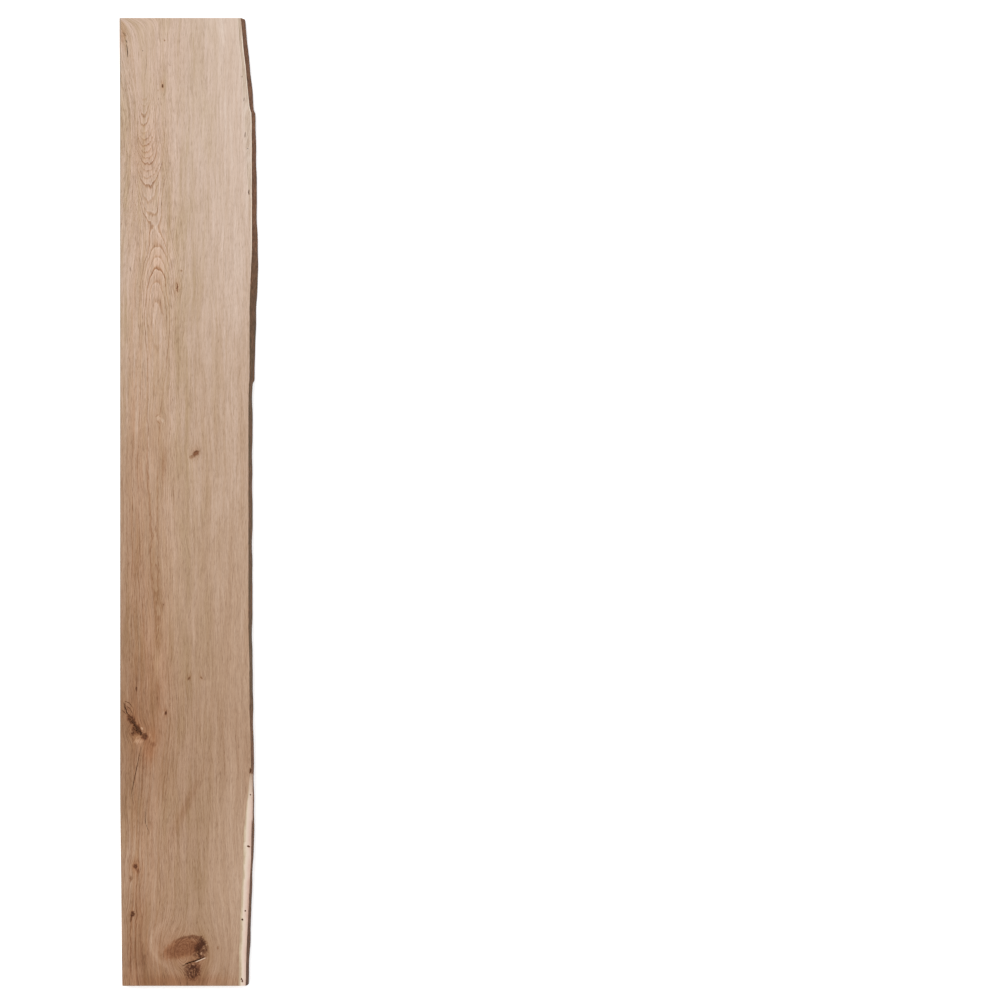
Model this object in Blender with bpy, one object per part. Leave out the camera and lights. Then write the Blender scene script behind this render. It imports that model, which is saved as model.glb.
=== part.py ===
"""Live edge oak plank, lying on its wider face.

A board sawn lengthwise from an oak log. One long side is sawn straight and the other, the live
edge, still follows the outside of the log: it leans outward going down and swells and narrows
along the board. Metres, +Z up. Y runs along the board, from its foot (-Y) to its head (+Y), and
X runs across it, from the sawn side (-X) to the live edge (+X). The origin is under the middle
of the board, on the surface that it lies on.

Places on the board are given in millimetres as (down, across): down from the head end, and
across from the sawn side at mid-length.
"""

import math
import random

import bmesh
import bpy
import numpy as np

MM = 0.001

# Size of the board
LENGTH = 2000.0
THICKNESS = 26.0
EASE = 0.8

# Sawn side: straight for most of its length, and drawn in a little towards the foot
SAWN_LINE = ((0, -1.3), (250, 0.0), (1550, 0.0), (1790, 2.2), (2000, 4.5))

# Where the flat face ends at the live edge
FACE_LINE = (
    (0, 250.0), (30, 253.0), (60, 255.3), (100, 260.0), (150, 264.8), (188, 269.0), (197, 272.0),
    (235, 272.6), (470, 273.0), (533, 270.6), (600, 268.4), (731, 268.0), (800, 266.0),
    (1250, 266.0), (1340, 268.0), (1425, 268.2), (1492, 270.3), (1657, 272.0), (1723, 271.5),
    (1789, 268.4), (1855, 265.5), (1921, 262.2), (2000, 260.0),
)

# The widest line of the live edge, low on its slope
OUTER_LINE = (
    (0, 257.6), (32, 260.4), (70, 264.7), (110, 269.0), (150, 272.4), (189, 275.6), (197, 278.9),
    (235, 280.2), (343, 281.3), (450, 283.2), (505, 284.2), (545, 283.4), (600, 281.5),
    (665, 278.6), (747, 276.9), (757, 273.2), (830, 272.6), (1326, 272.6), (1425, 274.4),
    (1558, 275.6), (1670, 276.9), (1723, 274.9), (1789, 273.0), (1855, 270.1), (1921, 268.2),
    (2000, 265.4),
)

# A drawknife has taken the top corner off the live edge in two places: the width of each cut
# facet along the board, and how far it drops at the bark
FACET_WIDTH = (
    (0, 8.5), (90, 9.0), (150, 12.0), (200, 16.0), (300, 12.0), (400, 9.0), (500, 3.0),
    (620, 1.0), (1540, 1.0), (1570, 4.0), (1700, 16.5), (1800, 17.0), (2000, 15.0),
)
FACET_DROP = (
    (0, 1.0), (90, 1.2), (200, 2.4), (300, 1.6), (400, 0.9), (500, 0.4), (620, 0.3),
    (1540, 0.3), (1600, 1.5), (1700, 4.0), (2000, 4.5),
)

# Shape of the live edge's slope
SLOPE_STEPS = 4
SLOPE_BULGE = 0.75
FOOT_HEIGHT = 3.0
FOOT_UNDERCUT = 2.2
CORNER_RADIUS = 4.0

# Swells in the live edge's surface: (length, height, phase), and how they turn down the slope
WAVES = ((171.0, 0.45, 0.3), (97.0, 0.35, 2.1), (61.0, 0.25, 4.0))
WAVE_TURN = 1.6

# Sections along the board, in mm down from the head end
SECTION_PITCH = 20.0
FINE_PITCH = 3.0
FINE_STRETCHES = ((183.0, 204.0), (741.0, 762.0))
END_STEPS = (0.8, 1.8, 4.0, 9.0)

# Cracks and hollows in the upper face: a path of (down, across), its greatest width and depth,
# and how ragged its lips are
CRACKS = {
    "knot_crack_upper": (((31, 4.5), (36, 8.0), (40, 11.3), (43, 12.2)), 1.0, 2.5, 0.2),
    "knot_crack_middle": (((44, 11.3), (47, 12.6), (52, 14.4)), 1.3, 3.5, 0.2),
    "knot_crack_main": (((52, 12.6), (57, 14.0), (63, 15.0), (72, 15.0), (82, 15.8)), 2.1, 7.0, 0.2),
    "ingrown_slot": (((137, 87.0), (140, 87.8), (144, 87.6)), 1.8, 3.0, 0.25),
    "edge_slot_upper": (((121, 252.2), (125, 252.0)), 0.8, 1.5, 0.2),
    "edge_slot_middle": (((162, 257.3), (167, 256.8), (173, 256.0)), 1.1, 2.0, 0.2),
    "edge_slot_lower": (((236, 259.2), (241, 258.4), (247, 257.6)), 1.0, 2.0, 0.2),
    "edge_hollow": (((353, 266.9), (357, 266.0), (361, 266.2), (367, 266.6)), 2.6, 4.0, 0.3),
    "ingrown_bark": (((545, 117.0), (552, 119.0), (560, 118.0), (569, 120.0)), 3.4, 1.6, 0.35),
    "small_knot": (((891, 154.0), (899, 156.5), (908, 154.0)), 7.0, 1.8, 0.3),
    "fissure_upper": (((1411, 7.5), (1424, 11.0), (1436, 16.5), (1446, 22.0)), 6.5, 7.0, 0.45),
    "fissure_lower": (
        ((1444, 24.0), (1453, 28.0), (1462, 33.0), (1471, 41.0), (1480, 46.0), (1488, 54.0)),
        8.5, 6.0, 0.45,
    ),
    "fissure_side": (((1452, 19.0), (1462, 21.0), (1474, 19.0)), 2.6, 3.0, 0.35),
    "long_crack": (((1502, 44.0), (1538, 37.0), (1583, 27.5), (1614, 21.5)), 1.1, 3.0, 0.2),
    "side_crack": (((1630, 52.0), (1664, 52.5), (1687, 62.0)), 0.9, 2.0, 0.2),
    "facet_mark": (((1711, 262.0), (1712, 265.0), (1713, 269.0)), 3.0, 2.5, 0.3),
    "bottom_knot_crack": (
        ((1960, 126.0), (1953, 140.0), (1948, 156.0), (1944, 166.0), (1939, 177.0)),
        2.6, 5.0, 0.35,
    ),
    "bottom_knot_check": (((1915, 160.0), (1924, 163.0), (1936, 161.0)), 2.0, 2.5, 0.35),
    "foot_mark": (((1982, 250.6), (1988, 252.4), (1994, 253.8)), 3.6, 2.5, 0.3),
}
CRACK_PITCH = 2.5
CRACK_ABOVE = 1.0
CRACK_SEED = 41
TIP_SHARE = 0.12
TAPER_POWER = 0.7
FLOOR_SHARE = 0.25
LIP_DEPTH = 0.3

# Round holes: (down, across), diameter and depth
HOLES = {
    "worm_hole": ((270, 264.0), 2.0, 6.0),
    "pin_hole": ((68, 47.0), 1.8, 4.0),
    "facet_spot_upper": ((1605, 269.6), 2.4, 1.6),
    "facet_spot_middle": ((1845, 258.8), 2.6, 1.8),
    "facet_spot_lower": ((1863, 252.8), 3.4, 2.2),
}
HOLE_SIDES = 12

OAK_COLOUR = (0.52, 0.36, 0.25, 1.0)
OAK_ROUGHNESS = 0.75


def curve(points, down):
    """Smooth height of a line of (down, height) points, with no overshoot between them."""
    place, height = np.array(points, dtype=float).T
    gap = np.diff(place)
    rise = np.diff(height) / gap
    slope = np.zeros(len(place))
    same_way = rise[:-1] * rise[1:] > 0
    slope[1:-1][same_way] = 2 * (rise[:-1] * rise[1:])[same_way] / (rise[:-1] + rise[1:])[same_way]
    slope[0], slope[-1] = rise[0], rise[-1]
    k = np.clip(np.searchsorted(place, down, side="right") - 1, 0, len(gap) - 1)
    t = np.clip((down - place[k]) / gap[k], 0, 1)
    start = height[k] * (1 + 2 * t) * (1 - t) ** 2 + gap[k] * slope[k] * t * (1 - t) ** 2
    end = height[k + 1] * t * t * (3 - 2 * t) + gap[k] * slope[k + 1] * t * t * (t - 1)
    return start + end


def corner_round(down):
    """How far the live edge draws in at the board's two corners, as a quarter circle."""
    from_end = min(down, LENGTH - down, CORNER_RADIUS)
    return CORNER_RADIUS - math.sqrt(CORNER_RADIUS**2 - (CORNER_RADIUS - from_end) ** 2)


def wave(down, t):
    """Gentle swell of the live edge's surface, drifting with t down its slope."""
    return sum(size * math.sin(2 * math.pi * down / length + phase + WAVE_TURN * t)
               for length, size, phase in WAVES) * t


def facet(down):
    """Where the cut facet starts and ends across the board, and its height at the bark."""
    face_end = float(curve(FACE_LINE, down))
    return face_end - float(curve(FACET_WIDTH, down)), face_end, THICKNESS - float(curve(FACET_DROP, down))


def top_height(down, across):
    """Height of the board's upper side at a place, on the flat face or on the facet."""
    start, end, bark_top = facet(down)
    share = min(max((across - start) / (end - start), 0), 1)
    return THICKNESS + (bark_top - THICKNESS) * share


def section(down):
    """Outline of the board's cross-section as (across, height) points, clockwise from below."""
    sawn = float(curve(SAWN_LINE, down))
    outer = float(curve(OUTER_LINE, down)) - corner_round(down)
    facet_start, face_end, bark_top = facet(down)
    points = [(sawn + EASE, 0), (sawn, EASE), (sawn, THICKNESS - EASE), (sawn + EASE, THICKNESS)]
    points += [(facet_start, THICKNESS), (face_end, bark_top)]
    for step in range(1, SLOPE_STEPS + 1):
        t = step / SLOPE_STEPS
        across = face_end + (outer - face_end) * t**SLOPE_BULGE + wave(down, t)
        points.append((across, bark_top + (FOOT_HEIGHT - bark_top) * t))
    points.append((points[-1][0] - FOOT_UNDERCUT, 0))
    return points


def eased_in(points):
    """A section drawn in by the easing, for the very end of the board."""
    low = min(across for across, height in points) + EASE
    high = max(across for across, height in points) - EASE
    return [(min(max(across, low), high), min(max(height, EASE), THICKNESS - EASE))
            for across, height in points]


def section_places():
    """Where the sections stand: evenly, and closer at the ends and at the steps in the edge."""
    places = set(np.arange(SECTION_PITCH, LENGTH, SECTION_PITCH).tolist())
    for start, end in FINE_STRETCHES:
        places |= set(np.arange(start, end, FINE_PITCH).tolist())
    for step in END_STEPS:
        places |= {step, LENGTH - step}
    return sorted(places)


def board_centre():
    """Middle of the board across its width, between the outermost points of all its sections."""
    across = [point[0] for down in section_places() for point in section(down)]
    return (min(across) + max(across)) / 2


def to_world(down, across, height, centre):
    """World position, in metres, of a place on the board."""
    return ((across - centre) * MM, (LENGTH / 2 - down) * MM, height * MM)


def loft(name, rings, collection):
    """Closed body through rings of points, with a cap at each end and its faces pointing out."""
    mesh = bpy.data.meshes.new(name)
    body = bmesh.new()
    loops = [[body.verts.new(point) for point in ring] for ring in rings]
    for one, other in zip(loops, loops[1:]):
        for k in range(len(one)):
            following = (k + 1) % len(one)
            body.faces.new((one[k], one[following], other[following], other[k]))
    body.faces.new(reversed(loops[0]))
    body.faces.new(loops[-1])
    bmesh.ops.recalc_face_normals(body, faces=body.faces)
    body.to_mesh(mesh)
    body.free()
    item = bpy.data.objects.new(name, mesh)
    collection.objects.link(item)
    return item


def make_board(centre, collection):
    """The sawn board with its live edge, before the cracks are cut."""
    places = section_places()
    rings = [[to_world(0, across, height, centre) for across, height in eased_in(section(0))]]
    for down in places:
        rings.append([to_world(down, across, height, centre) for across, height in section(down)])
    rings.append(
        [to_world(LENGTH, across, height, centre) for across, height in eased_in(section(LENGTH))]
    )
    return loft("plank", rings, collection)


def path_places(path):
    """Points about every CRACK_PITCH along a path, with their share of its length."""
    stops = np.array(path, dtype=float)
    run = np.concatenate(([0], np.cumsum(np.linalg.norm(np.diff(stops, axis=0), axis=1))))
    count = max(5, int(run[-1] / CRACK_PITCH))
    along = np.linspace(0, run[-1], count)
    down = np.interp(along, run, stops[:, 0])
    across = np.interp(along, run, stops[:, 1])
    return np.stack((down, across), axis=1), along / run[-1]


def make_crack(name, path, width, depth, ragged, centre, collection):
    """Cutter for a crack: a wedge along its path that tapers to both ends, with ragged lips."""
    draw = random.Random(f"{CRACK_SEED}{name}")
    places, share = path_places(path)
    heading = np.gradient(places, axis=0)
    heading /= np.linalg.norm(heading, axis=1)[:, None]
    rings = []
    for place, way, s in zip(places, heading, share):
        taper = TIP_SHARE + (1 - TIP_SHARE) * math.sin(math.pi * s) ** TAPER_POWER
        side = np.array((-way[1], way[0]))
        left = width / 2 * taper * (1 + draw.uniform(-ragged, ragged))
        right = width / 2 * taper * (1 + draw.uniform(-ragged, ragged))
        surface = top_height(*place)
        floor = surface - depth * taper * (1 + draw.uniform(-ragged, ragged) / 2)
        above = surface + CRACK_ABOVE
        lip = surface - LIP_DEPTH
        corners = ((-left, above), (-left, lip), (-left * FLOOR_SHARE, floor),
                   (right * FLOOR_SHARE, floor), (right, lip), (right, above))
        rings.append([to_world(*(place + side * reach), height, centre) for reach, height in corners])
    return loft(name, rings, collection)


def make_hole(name, place, diameter, depth, centre, collection):
    """Cutter for a round hole, as a worm leaves it."""
    bpy.ops.mesh.primitive_cylinder_add(
        vertices=HOLE_SIDES,
        radius=diameter / 2 * MM,
        depth=2 * depth * MM,
        location=to_world(*place, top_height(*place), centre),
    )
    hole = bpy.context.object
    hole.name = name
    for owner in list(hole.users_collection):
        owner.objects.unlink(hole)
    collection.objects.link(hole)
    return hole


def cut(board, cutter):
    """Take the cutter's shape out of the board, and hide the cutter."""
    cutter.hide_render = True
    cutter.display_type = "WIRE"
    modifier = board.modifiers.new(cutter.name, "BOOLEAN")
    modifier.operation = "DIFFERENCE"
    modifier.solver = "EXACT"
    modifier.object = cutter


def oak_material():
    """Raw oak, planed and unfinished."""
    material = bpy.data.materials.new("oak")
    material.use_nodes = True
    shader = material.node_tree.nodes["Principled BSDF"]
    shader.inputs["Base Color"].default_value = OAK_COLOUR
    shader.inputs["Roughness"].default_value = OAK_ROUGHNESS
    shader.inputs["Metallic"].default_value = 0.0
    return material


def new_collection(name):
    """A collection in the scene."""
    collection = bpy.data.collections.new(name)
    bpy.context.scene.collection.children.link(collection)
    return collection


def main():
    for item in list(bpy.data.objects):
        bpy.data.objects.remove(item)
    parts = new_collection("live_edge_plank")
    cutters = new_collection("cutters")
    centre = board_centre()
    board = make_board(centre, parts)
    board.data.materials.append(oak_material())
    for name, (path, width, depth, ragged) in CRACKS.items():
        cut(board, make_crack(name, path, width, depth, ragged, centre, cutters))
    for name, (place, diameter, depth) in HOLES.items():
        cut(board, make_hole(name, place, diameter, depth, centre, cutters))


main()
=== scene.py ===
"""Live edge oak plank on a white floor, seen from straight above.

Places on the board are given in millimetres as (down, across), as they are in the part's source:
down from the head end, and across from the sawn side at mid-length. Heights are in millimetres
above the floor. The board's skin is one mesh, worked out from the same lines as the solid, and
its oak is one solid texture, so the year rings on the faces run on over the sides and ends.
"""

import math

import bmesh
import bpy
import numpy as np
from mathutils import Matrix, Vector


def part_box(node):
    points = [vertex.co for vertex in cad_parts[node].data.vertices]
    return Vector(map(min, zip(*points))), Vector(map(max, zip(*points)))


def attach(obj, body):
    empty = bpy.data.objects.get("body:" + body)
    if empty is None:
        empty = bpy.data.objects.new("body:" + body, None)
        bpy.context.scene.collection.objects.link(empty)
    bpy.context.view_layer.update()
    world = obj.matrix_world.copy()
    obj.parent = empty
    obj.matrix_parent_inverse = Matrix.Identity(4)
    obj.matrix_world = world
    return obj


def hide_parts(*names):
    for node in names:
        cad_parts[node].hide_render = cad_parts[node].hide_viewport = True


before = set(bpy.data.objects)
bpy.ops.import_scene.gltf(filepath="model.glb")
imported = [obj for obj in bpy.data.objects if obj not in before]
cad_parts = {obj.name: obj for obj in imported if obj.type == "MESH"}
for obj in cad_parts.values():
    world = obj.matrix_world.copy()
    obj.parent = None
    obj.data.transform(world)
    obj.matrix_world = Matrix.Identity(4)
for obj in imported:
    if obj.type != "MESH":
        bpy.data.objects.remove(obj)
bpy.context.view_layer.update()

MM = 0.001

# Size of the board
LENGTH = 2000.0
THICKNESS = 26.0
EASE = 0.8

# Sawn side: straight for most of its length, and drawn in a little towards the foot
SAWN_LINE = ((0, -1.3), (250, 0), (1550, 0), (1790, 2.2), (2000, 4.5))

# Where the upper side, its flat face with the facets, ends at the live edge
FACE_LINE = (
    (0, 250), (30, 253), (60, 255.3), (100, 260), (150, 264.8), (188, 269), (197, 272),
    (235, 272.6), (470, 273), (533, 270.6), (600, 268.4), (731, 268), (800, 266), (1250, 266),
    (1340, 268), (1425, 268.2), (1492, 270.3), (1657, 272), (1723, 271.5), (1789, 268.4),
    (1855, 265.5), (1921, 262.2), (2000, 260),
)

# The widest line of the live edge, low on its slope
OUTER_LINE = (
    (0, 257.6), (32, 260.4), (70, 264.7), (110, 269), (150, 272.4), (189, 275.6), (197, 278.9),
    (235, 280.2), (343, 281.3), (450, 283.2), (505, 284.2), (545, 283.4), (600, 281.5),
    (665, 278.6), (747, 276.9), (757, 273.2), (830, 272.6), (1326, 272.6), (1425, 274.4),
    (1558, 275.6), (1670, 276.9), (1723, 274.9), (1789, 273), (1855, 270.1), (1921, 268.2),
    (2000, 265.4),
)

# A drawknife has taken the top corner off the live edge in two places: the width of each cut
# facet along the board, and how far it drops at the bark
FACET_WIDTH = (
    (0, 8.5), (90, 9), (150, 12), (200, 16), (300, 12), (400, 9), (500, 3), (620, 1), (1540, 1),
    (1570, 4), (1700, 16.5), (1800, 17), (2000, 15),
)
FACET_DROP = (
    (0, 1), (90, 1.2), (200, 2.4), (300, 1.6), (400, 0.9), (500, 0.4), (620, 0.3), (1540, 0.3),
    (1600, 1.5), (1700, 4), (2000, 4.5),
)

# Shape of the live edge's slope
SLOPE_BULGE = 0.75
FOOT_HEIGHT = 3.0
FOOT_UNDERCUT = 2.2
CORNER_RADIUS = 4.0

# Swells in the live edge's surface: (length, height, phase), and how they turn down the slope
WAVES = ((171, 0.45, 0.3), (97, 0.35, 2.1), (61, 0.25, 4))
WAVE_TURN = 1.6
RIPPLES = ((23, 0.16, 1), (14, 0.12, 2.6), (8.7, 0.09, 0.2))
RIPPLE_TURN = 5.0

# How closely the skin's points stand, for a flat face of about FLAT_WIDTH. An eased edge has a
# middle point, and even rows begin beside it.
ACROSS_PITCH = 3.4
DOWN_PITCH = 6.4
FLAT_WIDTH = 250.0
EASE_SHARE = 0.3
BESIDE_EASE = 2.0
FACET_COLUMNS = 5
EVEN_LEVELS = 9
FINE_STRETCHES = ((180, 206), (738, 764))
FINE_PITCH = 2.2

# Cracks and hollows in the upper face: a path of (down, across), its greatest width and depth,
# and how ragged its lips are
CRACKS = {
    "knot_crack_upper": (((29, 2.6), (32, 7.4), (34, 10.4), (39, 12.8)), 0.8, 1.4, 0.5),
    "knot_crack_middle": (((44, 11.3), (47, 12.6), (52, 14.4)), 1.3, 3, 0.15),
    "knot_crack_main": (((52.5, 12.8), (60.5, 14.7), (70.2, 15.3), (83, 16)), 1.5, 4, 0.15),
    "ingrown_slot": (((135.6, 88), (140, 87.8), (145.8, 87.4)), 3.2, 2.2, 0.3),
    "edge_slot_upper": (((118.5, 252.4), (121, 252.2), (124, 251.9)), 1.3, 1.6, 0.2),
    "edge_slot_middle": (((163, 256.8), (168, 256.3), (173.5, 255.6)), 1.5, 1.7, 0.2),
    "edge_slot_lower": (((234.5, 259.2), (241, 258.5), (248.5, 257.7)), 1.7, 1.8, 0.2),
    "edge_hollow": (((353, 266.9), (357, 266), (361, 266.2), (367, 266.6)), 2.4, 2.4, 0.25),
    "ingrown_bark": (((545, 117), (552, 119), (560, 118), (569, 120)), 3.4, 1.6, 0.5),
    "small_knot": (((904, 149.5), (900, 155), (895, 163)), 7, 1.5, 0.4),
    "fissure_upper": (((1414, 7.5), (1425, 10), (1436, 15.5), (1446, 21)), 2.8, 3, 0.6),
    "fissure_lower": (((1442, 18), (1452, 25), (1461, 31), (1471, 37), (1480, 45), (1488, 54)), 9, 3.6, 0.45),
    "fissure_side": (((1463, 30.5), (1472, 30), (1481, 26)), 6, 2.6, 0.4),
    "long_crack": (((1502, 44), (1538, 37), (1583, 27.5), (1614, 21.5)), 1.7, 1.9, 0.3),
    "side_crack": (((1630, 52), (1664, 52.5), (1687, 62)), 0.9, 2, 0.3),
    "facet_mark": (((1711, 261.5), (1712, 265), (1713, 269.5)), 4, 2.5, 0.4),
    "bottom_knot_crack": (((1960, 126), (1953, 140), (1948, 156), (1944, 166), (1939, 177)), 2.6, 5, 0.4),
    "bottom_knot_check": (((1915, 160), (1924, 163), (1936, 161)), 2, 2.5, 0.4),
    "foot_mark": (((1982, 250.6), (1988, 252.4), (1994, 253.8)), 3.6, 2.5, 0.4),
}

# Fine checks and pits, too small for the solid
FINE_CHECKS = {
    "knot_check": (((43.7, 18.3), (48, 19.4)), 0.6, 0.9, 0.3),
    "long_check": (((77, 56), (90, 55), (102, 54.2), (119, 53)), 0.55, 0.9, 0.3),
    "hooked_check": (((91, 99.8), (95, 100.6), (98.6, 101.6), (98.6, 107)), 0.9, 0.8, 0.2),
    "small_arc": (((114, 109.6), (112.4, 111), (113, 112.6)), 0.5, 0.6, 0.3),
    "double_pit_left": (((138, 76.6), (136, 77.6), (136.4, 79.2)), 1.1, 0.8, 0.3),
    "double_pit_right": (((136.4, 80.6), (137.6, 82)), 1.2, 0.8, 0.3),
    "short_dash": (((163.6, 78.8), (167, 79.2), (171, 79.3)), 1.3, 0.9, 0.3),
    "swirl_check_upper": (((1411, 8), (1413, 15), (1418, 22), (1427, 27)), 1.8, 1.6, 0.4),
    "swirl_check_middle": (((1421, 12), (1424, 18), (1431, 23), (1439, 26)), 1.6, 1.6, 0.4),
    "swirl_check_lower": (((1430, 3), (1434, 9), (1441, 14)), 1.6, 1.6, 0.4),
    "straight_check": (((336, 80), (355, 80.4), (373, 80.6)), 0.45, 0.8, 0.3),
    "side_dash": (((513, 20.8), (519, 21.3), (525, 21)), 1.1, 1.4, 0.3),
    "bark_fleck": (((521, 124.4), (522, 127), (523.4, 128.6)), 0.9, 0.6, 0.5),
    "bark_fleck_low": (((574, 119), (580, 117.6)), 0.8, 0.6, 0.5),
    "low_pit": (((1384, 34.6), (1388, 33.4)), 1.8, 1.4, 0.4),
    "callus_check": (((1432, 95.6), (1437, 94.2)), 1.8, 0.8, 0.5),
    "round_pit": (((1211, 89), (1214, 90.6)), 2.4, 1, 0.4),
    "red_pit": (((1752, 30.5), (1755, 34)), 3.4, 1.5, 0.5),
    "dotted_pit_upper": (((1773, 22), (1775, 22.6)), 1.2, 0.8, 0.4),
    "dotted_pit_middle": (((1779, 20.4), (1781, 21)), 1.3, 0.9, 0.4),
    "dotted_pit_lower": (((1785, 22.4), (1787, 21.6)), 1.1, 0.8, 0.4),
    "dark_pit": (((1849, 24.6), (1853, 27.6)), 4, 2, 0.4),
    "facet_nick": (((1701, 255.2), (1703, 257.4)), 1.5, 0.9, 0.4),
    "facet_start_nick": (((1549, 270.8), (1556, 269.8), (1563, 268)), 4, 2.4, 0.4),
    "heart_check": (((1962, 150), (1974, 153), (1984, 150)), 1.6, 2, 0.5),
}

# A crack's body: its rings' pitch, how far it stands above the face, and the shape of its taper
CRACK_PITCH = 0.9
CRACK_ABOVE = 1.0
CRACK_SEED = 41
TIP_SHARE = 0.12
TAPER_POWER = 0.7

# How wide its walls and floor are as shares of its lips, and how deep its lips go straight down
WALL_SHARE = 0.7
FLOOR_SHARE = 0.25
LIP_DEPTH = 0.3

# How far its path and walls wander, and over how many points each line is smoothed
PATH_WANDER = 0.35
WALL_WANDER = 0.12
BEND_REACH = 5
PATH_REACH = 3
LIP_REACH = 2

# How sharply two faces of the skin meet before their edge shows, in degrees
SHARP_ANGLE = 38

# Where the skin is sunk below the face: further than this from the outline and from the floor
SUNK_FROM_SIDE = 1.0
SUNK_FROM_FLOOR = 2.0

# Round holes: (down, across), diameter and depth, and the body of each from above the face to
# its floor, as shares of its radius and of its depth
HOLES = {
    "worm_hole": ((270, 264), 2, 6),
    "pin_hole": ((68, 47), 1.8, 4),
    "facet_spot_upper": ((1605, 269.4), 3, 1.8),
    "facet_spot_middle": ((1845, 258.8), 3.4, 2),
    "facet_spot_lower": ((1863, 252.8), 4.2, 2.4),
}
HOLE_PROFILE = ((1, -1), (1, 0.75), (0.93, 0.92), (0.6, 1))
HOLE_SIDES = 24

# The log's heart lies under the board: where it is across, and how far below the upper face
HEART_ACROSS = (
    (0, 48), (150, 49), (200, 50), (265, 51), (292, 56), (350, 57), (430, 70), (500, 77), (700, 77),
    (1000, 70), (1400, 78), (1700, 66), (2000, 60),
)
HEART_BELOW = (
    (0, 41), (120, 41), (160, 43), (188, 46.3), (210, 48.2), (232, 50.7), (263, 55.1), (292, 59.5),
    (318, 63.3), (345, 66.5), (400, 70), (430, 72), (460, 71), (500, 68), (540, 65), (600, 62.5),
    (650, 62), (705, 63.5), (800, 65.2), (930, 66), (1100, 66.4), (1290, 66.8), (1335, 67.6),
    (1380, 66.9), (1500, 67.4), (1650, 68.2), (1800, 69), (2000, 71),
)

# Above the arches the rings keep to one steady heart: where it is across, and how far below
HEART_STEADY = (48, 43)

# How wide a year ring is, and how far down the board its edge darts at most where it is ragged
RING_WIDTH = 1.9
ZIGZAG = 3.0

# A year ring that stands out, and after how many rings the next one does
BOLD_RING = 38.0
BOLD_EVERY = 3.1

# The arches are round at their tips and steep beside them: how far the rings step in over the
# tip's flat part, and how far they close up along its legs, down the board
TIP_FLAT = 1.4
TIP_LEGS = ((0, 5), (190, 4.5), (205, 3), (230, 1.5), (260, 0.5), (2000, 0.5))

# Wander of the grain across the board: length, width, size and phase of each slanted wave
SWAYS = (
    (130, 60, 2.2, 0), (48, 23, 1, 0), (29, -34, 0.6, 2.2), (16, 19, 0.4, 4.1),
    (9.5, -26, 0.25, 1.1),
)

# How far the grain at the sawn side leans over as it passes the knot at the head end
HEAD_LEAN = (
    (0, -34), (15, -14), (31, -6), (55, -1), (90, 2), (120, 8), (160, 16), (220, 24), (300, 25),
    (420, 12), (560, 0), (2000, 0),
)

# Knots that the grain flows around: (down, across), reach, and softness of the turn, which the
# reach itself adds to by the share KNOT_CORE
KNOTS = {
    "ingrown_bark": ((556, 118), 8, 7),
    "swirl": ((828, 83), 7, 6),
    "small_knot": ((899, 155), 10, 8),
    "fissure_knot": ((1474, 30), 20, 14),
    "red_knot": ((1753, 31), 7, 6),
    "dark_knot": ((1852, 26), 8, 7),
    "bottom_knot": ((1934, 142), 36, 20),
}
KNOT_CORE = 0.15

# Ovals of turning wood in the knots at the two ends: (down, across), half length, half width, and
# turn in degrees
HEAD_WHORL = ((29, -1), 26, 14.5, 4)
FOOT_OVAL = ((1922, 128), 20, 45, -20)
FOOT_HEARTS = (((1926, 167), 21, 13, 10), ((1968, 150), 18, 15, 16))
FOOT_BEND = ((1912, 134), 58, 68, 0)

# The crack in the foot knot lies at down + LIP_SLANT * across = LIP_LINE, with a painted highlight along the
# lip under it
LIP_SLANT = 0.41
LIP_LINE = 2011.7

# A dark wavy line down the board near the foot: where it is across
WAVY_LINE = 22.0

# The line across where the oak's brown is neither the sawn side's nor the live side's
MIDDLE_LINE = 140.0

# How brown the oak is down its middle, and how much more at its sawn side and its live side
BROWN_MIDDLE = (
    (0, 0.17), (150, 0.22), (400, 0.28), (800, 0.47), (1200, 0.61), (1500, 0.83), (1750, 0.81),
    (2000, 0.97),
)
BROWN_SAWN = (
    (0, 0.09), (250, 0.05), (400, 0.03), (700, 0.02), (1000, 0.26), (1200, 0.28), (1400, 0.27),
    (1616, 0.18), (1719, 0), (1822, 0), (2000, 0.04),
)
BROWN_LIVE = (
    (0, -0.17), (250, -0.16), (600, -0.11), (789, -0.08), (996, -0.03), (1202, 0), (1409, -0.12),
    (1541, -0.07), (1640, -0.18), (1850, -0.21), (1937, -0.15), (2000, -0.16),
)

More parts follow.
